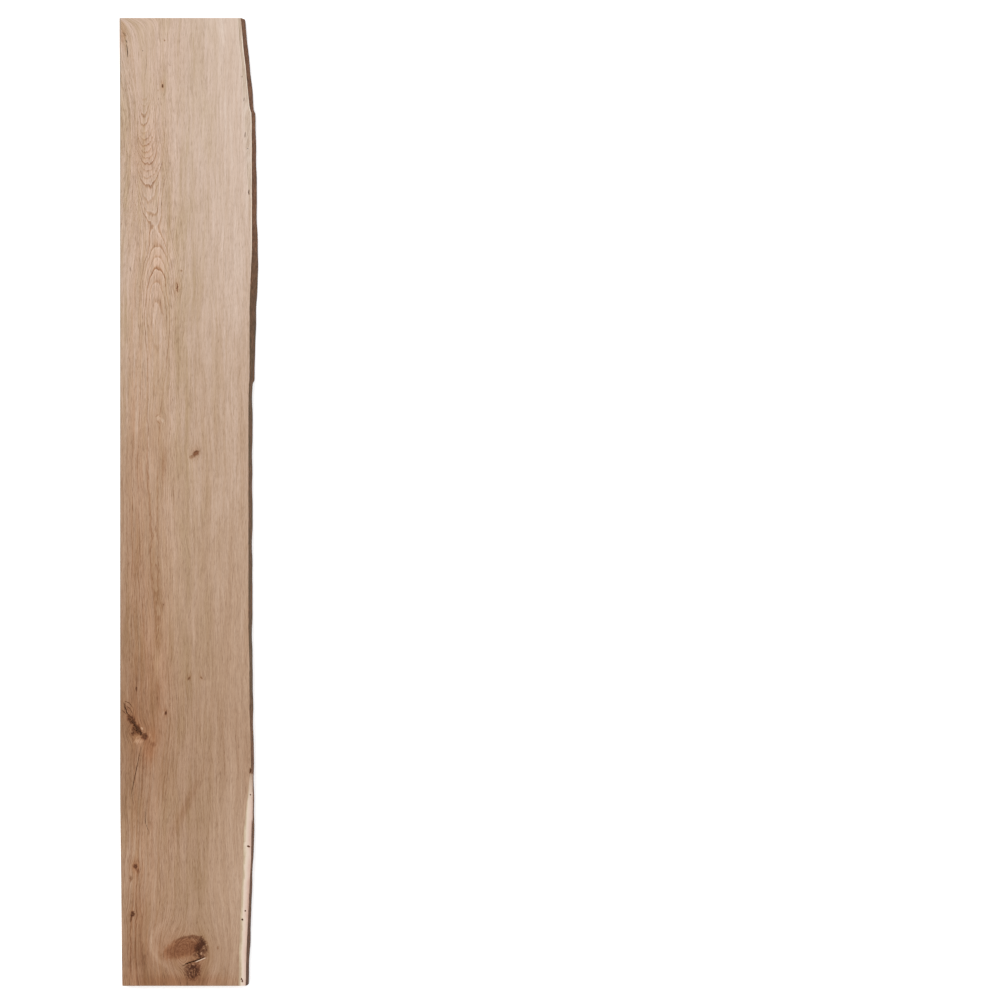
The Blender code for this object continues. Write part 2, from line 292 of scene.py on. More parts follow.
# Soft stains: (down, across), half length, half width, turn in degrees, how dark and how red
STAINS = (
    ((40, 4), 24, 11, 0, 0.08, 0.3),
    ((140, 87.6), 9, 3.4, 0, 0.16, 0.7),
    ((275, 54), 60, 32, 0, 0.1, 0.3),
    ((510, 78), 80, 26, 0, -0.12, 0.35),
    ((556, 118), 16, 5, 0, 0.14, 0.5),
    ((594, 83), 16, 3.5, 0, 0.3, 0),
    ((828, 83), 11, 7, 20, -0.1, 0),
    ((899, 156), 12, 8, 20, 0.35, 0.1),
    ((921, 146), 16, 7, -25, -0.1, 0.1),
    ((924, 90), 34, 5, 3, 0.3, 0.2),
    ((1188, 86.5), 9, 4, 0, 0.24, 0),
    ((1212, 90), 9, 4, 0, 0.28, 0),
    ((1335, 78), 38, 6, 2, -0.28, 0),
    ((1362, 143), 8, 5, 30, 0.22, 0.1),
    ((1363, 168), 7, 4, -30, 0.18, 0.1),
    ((1435, 94), 9, 5, 0, 0.3, 0.2),
    ((1450, 26), 46, 17, -38, 0.08, 0.4),
    ((60, 140), 70, 35, 0, 0.06, 0),
    ((950, 168), 420, 30, 0, 0.07, 0),
    ((1340, 75), 130, 28, 0, 0.03, 0.35),
    ((1840, 38), 56, 15, 0, 0.18, 0.1),
    ((1940, 44), 50, 32, 0, 0.22, 0.1),
    ((1491, 37), 14, 11, 0, -0.25, 0.5),
    ((1505, 62), 38, 14, 12, 0.1, 0.9),
    ((1630, 136), 70, 9, 26, 0.22, 0.1),
    ((1753, 31), 16, 11, 0, 0.22, 0.6),
    ((1640, 91), 40, 18, 0, -0.12, 0),
    ((1851, 26), 14, 9, 0, 0.16, 0.1),
    ((1930, 132), 34, 44, 20, 0.14, 0.5),
    ((1960, 160), 40, 20, 0, 0.18, 0.3),
    ((1925, 66), 44, 7, -8, -0.18, 0),
    ((1990, 130), 13, 100, 0, 0.26, 0.6),
)

# Small dark spots: (down, across), half length, half width, turn in degrees, and how dark
SPOTS = (
    ((1556, 269.5), 6.5, 2.8, -12, 1.3),
    ((46.5, 92), 1.9, 1.7, 0, 0.9),
    ((150, 78.5), 2.2, 1, 0, 0.7),
    ((523, 127), 3, 2.4, 0, 0.5),
    ((899, 157), 5, 8, -28, 1),
    ((907, 149), 4, 7, -28, 0.5),
    ((1364, 143), 4.5, 2.2, 25, 0.6),
    ((1363, 168), 3.6, 2, -25, 0.55),
    ((1386, 33.8), 5.5, 2, -8, 0.8),
    ((826, 79), 6, 3.5, 25, -0.25),
    ((832, 88), 6, 3.5, -30, -0.25),
    ((822, 76), 4, 1.4, 40, 0.4),
    ((835, 79), 5, 1.4, -40, 0.35),
    ((1424, 13), 12, 2.5, -32, 0.3),
    ((1436, 94.7), 4.8, 2.4, 15, 0.9),
    ((1437, 89), 5, 2, 15, -0.3),
    ((1450, 24), 12, 6.5, -35, 0.9),
    ((1470, 35), 12, 9, -30, 1),
    ((1485, 50), 7.5, 7, -40, 0.9),
    ((1479, 26), 5, 4, 20, 0.7),
    ((1468, 45), 4, 2.5, -30, -1),
    ((1494, 36), 6, 9, 0, -0.25),
    ((1487, 64), 12, 3.5, -20, -0.25),
    ((1500, 69), 5, 6, 0, 0.25),
    ((1753, 32), 6, 5, 10, 0.9),
    ((1762, 37), 7, 4, -20, 0.4),
    ((1778, 22), 6, 3, 0, 0.6),
    ((1851, 26), 6, 5, 0, 1.1),
    ((1862, 23), 8, 2.5, 10, 0.6),
    ((1921, 202), 4.5, 2.2, 0, 0.4),
)

# Colours on the screen, as red, green and blue of 0 to 255: the oak's goes by how dark it is
OAK_COLOURS = (
    (-0.5, (233, 219, 206)), (0.0, (212, 188, 171)), (0.5, (187, 156, 131)), (1.0, (158, 121, 93)),
    (1.5, (121, 82, 58)), (2.1, (76, 44, 27)),
)
# The sawn side's grey, also painted as shade along its top edge
SAWN_GREY_AND_EDGE_SHADE = (162, 148, 135)
END_BROWN = (158, 138, 120)
# A painted highlight along the lip of the crack in the foot knot
LIP_HIGHLIGHT = (228, 202, 178)
FUZZ_PALE = (236, 220, 202)

# The facet near the head end, and then the one near the foot, by the way across it in millimetres
FACET_PALE = (212, 191, 170)
FACET_STREAK = (170, 146, 124)
FACET_STROKE = (196, 180, 162)
FACET_SCORE = (230, 213, 199)
# A painted highlight along the facet's start, where it meets the face
FACET_ARRIS_HIGHLIGHT = (226, 207, 191)
FACET_COLOURS = (
    (0.0, (186, 160, 134)), (2.72, (204, 184, 156)), (5.1, (228, 208, 188)), (9.35, (226, 203, 186)),
    (13.6, (218, 188, 172)), (17.0, (198, 164, 146)),
)

# The inside of a crack, and the bark, with painted highlights on its raised flakes, and painted shade in its
# hollows and low on the live edge
PIT_SHALLOW = (148, 100, 68)
PIT_DEEP = (92, 58, 38)
PIT_CRUMB = (178, 130, 94)
BARK_DARK = (86, 58, 42)
BARK_LIGHT = (146, 105, 79)
BARK_FLAKE_HIGHLIGHT = (178, 136, 102)
BARK_HOLLOW_SHADE = (58, 38, 28)
BARK_BLOTCH = (110, 84, 68)
BARK_LICHEN = (88, 78, 60)
BARK_LOW_SHADE = (62, 48, 40)
BARK_AT_FOOT = (80, 62, 56)

# What the oak's colour is multiplied by where it is greener, and where it is redder
GREEN_TINT = (0.90, 0.955, 0.78, 1)
RED_TINT = (1.06, 0.89, 0.77, 1)

# How far noise is stretched about its middle, how the drawknife's strokes are turned in degrees, and
# a height that no spot ends below
NOISE_GAIN = 3.2
STROKE_TURN = -16.0
ANY_HEIGHT = 1e6

# Light that a white surface gives back under the scene's lamps
LIGHT = 1.19

# Strengths of the lamps and of the floor's glow, the key light's width and turn in degrees, and how
# far the floor reaches in metres
SKY_STRENGTH = 0.9
KEY_STRENGTH = 1.35
FLOOR_GLOW = 0.34
KEY_WIDTH = 30.0
KEY_TURN = (-24.0, -32.0)
FLOOR_REACH = 30.0

# Camera, in metres: straight above, with the picture's width at the board's upper face
PICTURE_WIDTH = 2.066
CAMERA_PLACE = (0.6435, 0.004)
CAMERA_HEIGHT = 12.0
SENSOR = 36.0


def curve(points, down):
    """Smooth height of a line of (down, height) points, with no overshoot between them."""
    place, height = np.array(points, dtype=float).T
    gap = np.diff(place)
    rise = np.diff(height) / gap
    slope = np.zeros(len(place))
    same_way = rise[:-1] * rise[1:] > 0
    slope[1:-1][same_way] = 2 * (rise[:-1] * rise[1:])[same_way] / (rise[:-1] + rise[1:])[same_way]
    slope[0], slope[-1] = rise[0], rise[-1]
    k = np.clip(np.searchsorted(place, down, side="right") - 1, 0, len(gap) - 1)
    t = np.clip((down - place[k]) / gap[k], 0, 1)
    start = height[k] * (1 + 2 * t) * (1 - t) ** 2 + gap[k] * slope[k] * t * (1 - t) ** 2
    end = height[k + 1] * t * t * (3 - 2 * t) + gap[k] * slope[k + 1] * t * t * (t - 1)
    return start + end


def corner_round(down):
    """How far the live edge draws in at the board's two corners, as a quarter circle."""
    from_end = np.clip(np.minimum(down, LENGTH - down), 0, CORNER_RADIUS)
    return CORNER_RADIUS - np.sqrt(CORNER_RADIUS**2 - (CORNER_RADIUS - from_end) ** 2)


def wave(down, t):
    """Gentle swell of the live edge's surface, drifting with t down its slope."""
    return t * sum(size * np.sin(2 * np.pi * down / length + phase + WAVE_TURN * t)
                   for length, size, phase in WAVES)


def ripple(down, t):
    """Fine relief of the bark film: short waves along the edge, none at the slope's two rims."""
    return np.sin(np.pi * t) * sum(size * np.sin(2 * np.pi * down / length + phase + RIPPLE_TURN * t)
                                   for length, size, phase in RIPPLES)


def top_height(down, across):
    """Height of the board's upper side at a place, on the flat face or on the facet."""
    end = curve(FACE_LINE, down)
    start = end - curve(FACET_WIDTH, down)
    share = np.clip((across - start) / (end - start), 0, 1)
    return THICKNESS - curve(FACET_DROP, down) * share


def live_side(down, height):
    """Where the live edge's surface stands across the board, at a height.

    From the bark line it leans out by the slope's share to the power SLOPE_BULGE down to
    FOOT_HEIGHT, and under that it turns back in towards the floor.
    """
    end = curve(FACE_LINE, down)
    outer = curve(OUTER_LINE, down) - corner_round(down)
    bark_top = THICKNESS - curve(FACET_DROP, down)
    t = np.clip((bark_top - height) / (bark_top - FOOT_HEIGHT), 0, 1)
    under = np.clip(1 - height / FOOT_HEIGHT, 0, 1)
    return end + (outer - end) * t**SLOPE_BULGE + wave(down, t) + ripple(down, t) - FOOT_UNDERCUT * under


def smooth_step(value, low, high):
    """A soft step from 0 at low to 1 at high: 3 - 2 t, times t squared."""
    t = np.clip((value - low) / (high - low), 0, 1)
    return t * t * (3 - 2 * t)


def spread(start, end, pitch):
    """Evenly spread places from start to end, about a pitch apart."""
    return np.linspace(start, end, max(2, round((end - start) / pitch) + 1))


def skin_rows():
    """Places down the board: even, closer at the steps in the edge, and three beside each end."""
    by_end = np.array((EASE * EASE_SHARE, EASE, BESIDE_EASE))
    rows = [spread(0, LENGTH, DOWN_PITCH), by_end, LENGTH - by_end]
    rows += [np.arange(start, end, FINE_PITCH) for start, end in FINE_STRETCHES]
    return np.unique(np.round(np.concatenate(rows), 3))


def board_block():
    """The board as a block of points, deformed to shape, indexed by (row, column, level).

    A column's share of the way runs from the sawn side to the bark line, with the last few
    columns on the facet. Each level is a height, close at the eased edges and even between them.
    At every level the columns are stretched to end on the live edge's surface. Points near the
    edges of the sawn side and of the two ends are drawn in onto a circle of radius EASE.
    """
    down = skin_rows()[:, None, None]
    eased = np.array((0, EASE * EASE_SHARE, EASE))
    flat = np.concatenate((eased, spread(EASE + BESIDE_EASE, FLAT_WIDTH, ACROSS_PITCH))) / FLAT_WIDTH
    facet = np.linspace(0, 1, FACET_COLUMNS + 1)[1:]
    column = np.concatenate((flat, 1 + facet))[None, :, None]
    even = np.linspace(FOOT_HEIGHT, THICKNESS - BESIDE_EASE, EVEN_LEVELS)
    share = np.concatenate((eased, even, THICKNESS - eased[::-1])) / THICKNESS
    share = share[None, None, :]
    sawn = curve(SAWN_LINE, down)
    end = curve(FACE_LINE, down)
    start = end - curve(FACET_WIDTH, down)
    on_top = np.where(column <= 1, sawn + (start - sawn) * column, start + (end - start) * (column - 1))
    height = share * top_height(down, on_top)
    across = sawn + (on_top - sawn) / (end - sawn) * (live_side(down, height) - sawn)
    down = np.broadcast_to(down, across.shape)
    top = top_height(down, across)
    near = np.stack((np.minimum(down, LENGTH - down), across - sawn, np.minimum(height, top - height)))
    inside = np.clip(EASE - near, 0, EASE)
    reach = np.maximum(np.sqrt((inside**2).sum(axis=0)), EASE)
    pull = inside * (1 - EASE / reach)
    down = down + np.where(down < LENGTH / 2, pull[0], -pull[0])
    height = height + np.where(height < top / 2, pull[2], -pull[2])
    return down, across + pull[1], height


def to_world(down, across, height):
    """World positions, in metres, of places on the board, one row each."""
    return np.stack(((across - centre) * MM, (LENGTH / 2 - down) * MM, height * MM), axis=-1)


def block_skin(shape):
    """The points on the outside of a block, and the four-sided faces between them.

    Each of the block's six sides is a grid of point numbers, and a face joins each number to its
    next ones along the grid's two ways.
    """
    number = np.arange(np.prod(shape)).reshape(shape)
    sides = (number[0], number[-1].T, number[:, 0].T, number[:, -1], number[:, :, 0], number[:, :, -1].T)
    faces = [np.stack((side[:-1, :-1], side[1:, :-1], side[1:, 1:], side[:-1, 1:]), axis=-1).reshape(-1, 4)
             for side in sides]
    used, faces = np.unique(np.concatenate(faces), return_inverse=True)
    return used, faces.reshape(-1, 4)


def new_mesh(name, points, faces):
    """An object from points and faces, with its faces pointing out."""
    mesh = bpy.data.meshes.new(name)
    mesh.from_pydata(points, [], faces)
    shell = bmesh.new()
    shell.from_mesh(mesh)
    bmesh.ops.recalc_face_normals(shell, faces=shell.faces)
    shell.to_mesh(mesh)
    shell.free()
    item = bpy.data.objects.new(name, mesh)
    bpy.context.scene.collection.objects.link(item)
    return item


def unevenness(draw, count, reach):
    """A random line of values about within -1 to 1, smoothed over a reach of points."""
    steps = draw.uniform(-1, 1, count + reach)
    smooth = np.convolve(steps, np.ones(reach) / reach, mode="valid")[:count]
    return smooth * math.sqrt(reach)


def rounded(line, reach):
    """A line of values with its corners rounded, each value the mean of its neighbours."""
    return np.convolve(np.pad(line, reach, mode="edge"), np.ones(2 * reach + 1) / (2 * reach + 1), "valid")


def tube(name, rings):
    """A closed body through rings of points, with a flat cap at each end."""
    count, corners = rings.shape[:2]
    number = np.arange(count * corners).reshape(count, corners)
    beside = np.roll(number, -1, axis=1)
    faces = np.stack((number[:-1], beside[:-1], beside[1:], number[1:]), axis=-1).reshape(-1, 4).tolist()
    faces += [number[0].tolist(), number[-1].tolist()]
    return new_mesh(name, rings.reshape(-1, 3), faces)


def crack_body(seed, name, path, width, depth, ragged):
    """Body of a crack: a wedge along its path that tapers to both ends, with ragged lips.

    Half its width is width / 2 times a taper, which goes from TIP_SHARE at both ends to 1 between
    them, as the sine of the share of its length to the power TAPER_POWER. Its path, lips, walls and
    floor wander by its raggedness.
    """
    draw = np.random.default_rng(CRACK_SEED + seed)
    stops = np.array(path, dtype=float)
    run = np.concatenate(([0], np.cumsum(np.linalg.norm(np.diff(stops, axis=0), axis=1))))
    along = spread(0, run[-1], CRACK_PITCH)
    count = len(along)
    bend = min(BEND_REACH, count // 4)
    places = np.stack([rounded(np.interp(along, run, line), bend) for line in stops.T], axis=1)
    way = np.gradient(places, axis=0)
    way /= np.linalg.norm(way, axis=1)[:, None]
    side = np.stack((-way[:, 1], way[:, 0]), axis=1)
    wander = unevenness(draw, count, PATH_REACH) * width * ragged * PATH_WANDER
    places = places + side * wander[:, None]
    swell = np.clip(np.sin(np.pi * along / run[-1]), 0, 1)
    taper = TIP_SHARE + (1 - TIP_SHARE) * swell**TAPER_POWER
    half = width / 2 * taper
    wobble = [unevenness(draw, count, LIP_REACH) for _ in range(4)]
    left = half * (1 + ragged * wobble[0])
    right = half * (1 + ragged * wobble[1])
    surface = top_height(places[:, 0], places[:, 1])
    floor = surface - depth * taper * (1 + ragged / 2 * wobble[2])
    above = surface + CRACK_ABOVE
    lip = surface - LIP_DEPTH
    wall = (lip * 0.5 + floor * 0.5) + WALL_WANDER * depth * ragged * wobble[3]
    reach = np.stack((-left, -left, -left * WALL_SHARE, -left * FLOOR_SHARE, right * FLOOR_SHARE,
                      right * WALL_SHARE, right, right), axis=1)
    height = np.stack((above, lip, wall, floor, floor, wall, lip, above), axis=1)
    down = places[:, :1] + side[:, :1] * reach
    across = places[:, 1:] + side[:, 1:] * reach
    return tube(name, to_world(down, across, height))


def hole_body(name, place, diameter, depth):
    """Body of a round hole, as a worm leaves it: a cylinder a little rounded at its floor."""
    down, across = place
    turn = np.linspace(0, 2 * np.pi, HOLE_SIDES, endpoint=False)[None, :]
    top = top_height(np.array(down), np.array(across))
    radius_share, depth_share = np.array(HOLE_PROFILE).T[:, :, None]
    reach = radius_share * diameter / 2
    height = np.broadcast_to(top - depth * depth_share, (len(HOLE_PROFILE), HOLE_SIDES))
    return tube(name, to_world(down + reach * np.sin(turn), across + reach * np.cos(turn), height))


def knot_flow(down, across):
    """How far the grain steps aside at a place, as water does round a stone in a stream.

    Beside a knot at a distance from its middle, the step is the way across to the knot times the
    knot's reach squared over the distance squared, softened near the knot and in its core.
    """
    step = 0
    for place, reach, softness in KNOTS.values():
        distance = (down - place[0]) ** 2 + (across - place[1]) ** 2
        step = step - (across - place[1]) * reach**2 / (distance + softness**2 + reach**2 * KNOT_CORE)
    return step


def sway(down, across):
    """How far the grain wanders aside at a place, as a sum of slanted waves."""
    return sum(size * np.sin(down / length + across / width + phase)
               for length, width, size, phase in SWAYS)


def head_lean(down, across):
    """How far the grain near the sawn side has leaned over, past the knot at the head end."""
    lean = curve(HEAD_LEAN, down)
    return lean * (1 - smooth_step(across, 15, np.where(lean < 0, 100, 55)))


def rings_at(down, across, height):
    """Which year ring a place lies in: its distance from the log's heart over a ring's width.

    The rings follow the grain past the head knot, down to the arches. Beside the heart the way
    across is shortened over the arches' round tips, and lengthened along their legs.
    """
    head = 1 - smooth_step(down, 105, 165)
    lean = head_lean(np.minimum(down, 160), across) * (1 - smooth_step(down, 300, 560))
    beside = across + sway(down, across) + knot_flow(down, across) * (1 - head) - lean
    beside = beside - curve(HEART_ACROSS, down) - (HEART_STEADY[0] - curve(HEART_ACROSS, down)) * head
    away = np.abs(beside)
    step = curve(TIP_LEGS, down) * smooth_step(away, 4, 14) - TIP_FLAT * smooth_step(away, 0, 5)
    beside = beside + np.sign(beside) * step * (1 - head) * (1 - smooth_step(down, 600, 760))
    below = curve(HEART_BELOW, down)
    below = below + (HEART_STEADY[1] - below) * head - (THICKNESS - height)
    return np.sqrt(beside**2 + below**2) / RING_WIDTH


def wood_marks(points):
    """What the oak needs to know at each point of the skin, as named rows of three numbers.

    grain: the place along a straightened grain, down the board, and its height.
    rings: the year ring, its change over a ZIGZAG down the board, and how bold the rings are.
    shade: how brown the oak is, how red, and how deep a crack is at this place.
    edge: the way across from the live edge's surface and from the facet's start, and how bright
    the facet is.
    """
    across = points[:, 0] / MM + centre
    down = LENGTH / 2 - points[:, 1] / MM
    height = points[:, 2] / MM
    straight = across + sway(down, across) + knot_flow(down, across) - head_lean(down, across)
    grain = np.stack((straight, down, height), axis=1)

    # Rings: bold at the arches by the heart, plain beside them and further down
    ring = rings_at(down, across, height)
    zigzag = rings_at(down + ZIGZAG, across, height) - ring
    beside = across - curve(HEART_ACROSS, down)
    near_heart = 1 - smooth_step(np.abs(beside), 34, 80)
    arches = smooth_step(down, 165, 195) * (1 - smooth_step(down, 560, 760))
    left_branch = smooth_step(down, 80, 130) * smooth_step(-beside, 6, 22) * (1 - smooth_step(down, 400, 500))
    quiet = (1 - smooth_step(down, 150, 180)) * (1 - smooth_step(np.abs(beside), 12, 30))
    left = (1 - smooth_step(across, 60, 130)) * (1 - 0.6 * smooth_step(down, 1500, 1800))
    low_left = (1 - smooth_step(across, 30, 70)) * smooth_step(down, 1380, 1700)
    bold = 0.28 + 0.16 * left + 0.12 * low_left - 0.40 * quiet
    arches = arches * (0.6 + 0.5 * np.exp(-((beside / 22) ** 2)))
    arches = arches * (0.75 + 0.5 * smooth_step(down, 215, 285))
    plain = smooth_step(down, 560, 640) * (1 - smooth_step(np.abs(beside), 6, 26))
    bold = bold + near_heart * (0.16 + 0.5 * np.maximum(arches, left_branch)) - 0.26 * plain
    rings = np.stack((ring, zigzag, bold), axis=1)

    # Brown and red: from the lines along the board, and then from each stain as a soft oval
    sawn_weight = smooth_step(MIDDLE_LINE - across, 0, 120)
    live_weight = smooth_step(across - MIDDLE_LINE, 0, 105)
    brown = curve(BROWN_MIDDLE, down) + curve(BROWN_SAWN, down) * sawn_weight
    brown = brown + curve(BROWN_LIVE, down) * live_weight
    red = 0.14 * smooth_step(across, 5, 30) * (1 - smooth_step(across, 90, 150))
    for place, half_length, half_width, turn, dark, ruddy in STAINS:
        angle = math.radians(turn)
        lengthwise = (down - place[0]) * math.cos(angle) - (across - place[1]) * math.sin(angle)
        sideways = (down - place[0]) * math.sin(angle) + (across - place[1]) * math.cos(angle)
        spot = np.exp(-((lengthwise / half_length) ** 2) - (sideways / half_width) ** 2)
        brown = brown + dark * spot
        red = red + ruddy * spot

    # Depth below the face, for the points in a crack alone
    sunk = np.maximum(top_height(down, across) - height, 0)
    inward = np.minimum(np.minimum(down, LENGTH - down), across - curve(SAWN_LINE, down))
    inward = np.minimum(inward, live_side(down, height) - across)
    sunk = np.where((inward > SUNK_FROM_SIDE) & (height > SUNK_FROM_FLOOR), sunk, 0)
    shade = np.stack((brown, red, sunk), axis=1)

    end = curve(FACE_LINE, down)
    start = end - curve(FACET_WIDTH, down)
    bright = smooth_step(down, 1530, 1640)
    edge = np.stack((across - live_side(down, height), across - start, bright), axis=1)
    return {"grain": grain, "rings": rings, "shade": shade, "edge": edge}


def make_plank():
    """The plank: the block's skin with the cracks, checks and holes cut out of it."""
    down, across, height = board_block()
    used, faces = block_skin(down.shape)
    points = to_world(down.ravel()[used], across.ravel()[used], height.ravel()[used])
    plank = new_mesh("oak_plank", points, faces.tolist())
    cutters = bpy.data.collections.new("cutters")
    bodies = [crack_body(seed, name, *facts)
              for seed, (name, facts) in enumerate((CRACKS | FINE_CHECKS).items())]
    bodies += [hole_body(name, *facts) for name, facts in HOLES.items()]
    for body in bodies:
        bpy.context.scene.collection.objects.unlink(body)
        cutters.objects.link(body)
    modifier = plank.modifiers.new("cracks", "BOOLEAN")
    modifier.operation = "DIFFERENCE"
    modifier.operand_type = "COLLECTION"
    modifier.collection = cutters
    modifier.solver = "EXACT"
    whole = plank.evaluated_get(bpy.context.evaluated_depsgraph_get())
    mesh = bpy.data.meshes.new_from_object(whole)
    plank.modifiers.clear()
    blank = plank.data
    plank.data = mesh
    bpy.data.meshes.remove(blank)
    for body in bodies:
        bpy.data.meshes.remove(body.data)
    bpy.data.collections.remove(cutters)
    points = np.empty(len(mesh.vertices) * 3, dtype=np.float32)
    mesh.vertices.foreach_get("co", points)
    for name, rows in wood_marks(points.reshape(-1, 3).astype(float)).items():
        mark = mesh.attributes.new(name=name, type="FLOAT_VECTOR", domain="POINT")
        mark.data.foreach_set("vector", rows.astype(np.float32).ravel())
    mesh.shade_smooth()
    mesh.set_sharp_from_angle(angle=math.radians(SHARP_ANGLE))
    return plank


class Value:
    """A shader socket that Python's own operators work on, each of them adding a Math node."""

    def __init__(self, paper, socket):
        self.paper = paper
        self.socket = socket

    def __add__(self, other):
        return self.paper.math("ADD", self, other)

    def __sub__(self, other):
        return self.paper.math("SUBTRACT", self, other)

    def __rsub__(self, other):
        return self.paper.math("SUBTRACT", other, self)

    def __mul__(self, other):
        return self.paper.math("MULTIPLY", self, other)

    def __truediv__(self, other):
        return self.paper.math("DIVIDE", self, other)

    def __pow__(self, other):
        return self.paper.math("POWER", self, other)

    def __abs__(self):
        return self.paper.math("ABSOLUTE", self)

    __radd__ = __add__
    __rmul__ = __mul__


class Paper:
    """A material's node tree, to write shader expressions on."""

    def __init__(self, name):
        self.material = bpy.data.materials.new(name)
        self.material.use_nodes = True
        self.tree = self.material.node_tree
        self.tree.nodes.clear()

    def node(self, kind, settings, sockets, output=0):
        """A node of a type, with its settings made first, then its sockets by identifier."""
        node = self.tree.nodes.new(kind)
        for name, value in settings.items():
            setattr(node, name, value)
        places = {socket.identifier: socket for socket in node.inputs}
        for name, value in sockets.items():
            if isinstance(value, Value):
                self.tree.links.new(value.socket, places[name])
            else:
                places[name].default_value = value
        return Value(self, node.outputs[output]) if node.outputs else node

    def math(self, operation, *values, clamp=False):
        """A Math node on up to three numbers."""
        sockets = dict(zip(("Value", "Value_001", "Value_002"), values))
        return self.node("ShaderNodeMath", {"operation": operation, "use_clamp": clamp}, sockets)

    def vector(self, operation, *values, output="Vector"):
        """A Vector Math node on up to three vectors."""
        sockets = dict(zip(("Vector", "Vector_001", "Vector_002"), values))
        return self.node("ShaderNodeVectorMath", {"operation": operation}, sockets, output)

    def mix(self, factor, one, other, blend="MIX"):
        """One colour turned into the other by a factor."""
        settings = {"data_type": "RGBA", "blend_type": blend, "clamp_factor": True}
        sockets = {"Factor_Float": factor, "A_Color": one, "B_Color": other}
        return self.node("ShaderNodeMix", settings, sockets, 2)

    def step(self, value, low, high):
        """A soft step from 0 at low to 1 at high, or down again where high is the smaller."""
        sockets = {"Value": value, "From Min": min(low, high), "From Max": max(low, high)}
        rising = self.node("ShaderNodeMapRange", {"interpolation_type": "SMOOTHSTEP"}, sockets)
        return rising if low < high else 1 - rising

    def part(self, vector, axis):
        """One of a vector's three numbers."""
        return self.node("ShaderNodeSeparateXYZ", {}, {"Vector": vector}, axis)

    def marks(self, name):
        """The three numbers of one of the skin's attributes."""
        return self.node("ShaderNodeAttribute", {"attribute_name": name}, {}, "Vector")

    def noise(self, vector, size, detail=2.0, rough=0.5, seed=0.0, warp=0.0):
        """Noise about within -1 to 1, stretched so that its grains have a size in mm each way."""
        sockets = {"Vector": vector, "Scale": tuple(1 / length for length in size), "Location": (seed, 0, 0)}
        place = self.node("ShaderNodeMapping", {}, sockets)
        sockets = {"Vector": place, "Scale": 1.0, "Detail": detail, "Roughness": rough, "Distortion": warp}
        return (self.node("ShaderNodeTexNoise", {}, sockets) - 0.5) * NOISE_GAIN

    def ring_of(self, vector, place, half_length, half_width, turn):
        """Distance from a place seen from above, 1 on the rim of an oval of the given size."""
        sockets = {
            "Vector": vector, "Location": (place[1], place[0], 0),
            "Rotation": (0, 0, math.radians(turn)), "Scale": (half_width, half_length, ANY_HEIGHT),
        }
        near = self.node("ShaderNodeMapping", {"vector_type": "TEXTURE"}, sockets)
        return self.vector("LENGTH", near, output="Value")

    def ramp(self, value, stops):
        """Colours along a value, from stops of the value and the screen colour at it."""
        start, span = stops[0][0], stops[-1][0] - stops[0][0]
        share = self.math("MULTIPLY_ADD", value, 1 / span, -start / span, clamp=True)
        node = self.tree.nodes.new("ShaderNodeValToRGB")
        elements = node.color_ramp.elements
        while len(elements) < len(stops):
            elements.new(0.5)
        for element, (place, colour) in zip(elements, stops):
            element.position = (place - start) / span
            element.color = seen(colour)
        self.tree.links.new(share.socket, node.inputs["Fac"])
        return Value(self, node.outputs["Color"])


def seen(colour):
    """Base colour that reads as a screen colour under the scene's light, by the sRGB curve."""
    screen = np.array(colour) / 255
    plain = np.where(screen <= 0.04045, screen / 12.92, ((screen + 0.055) / 1.055) ** 2.4)
    return (*(plain / LIGHT).tolist(), 1.0)


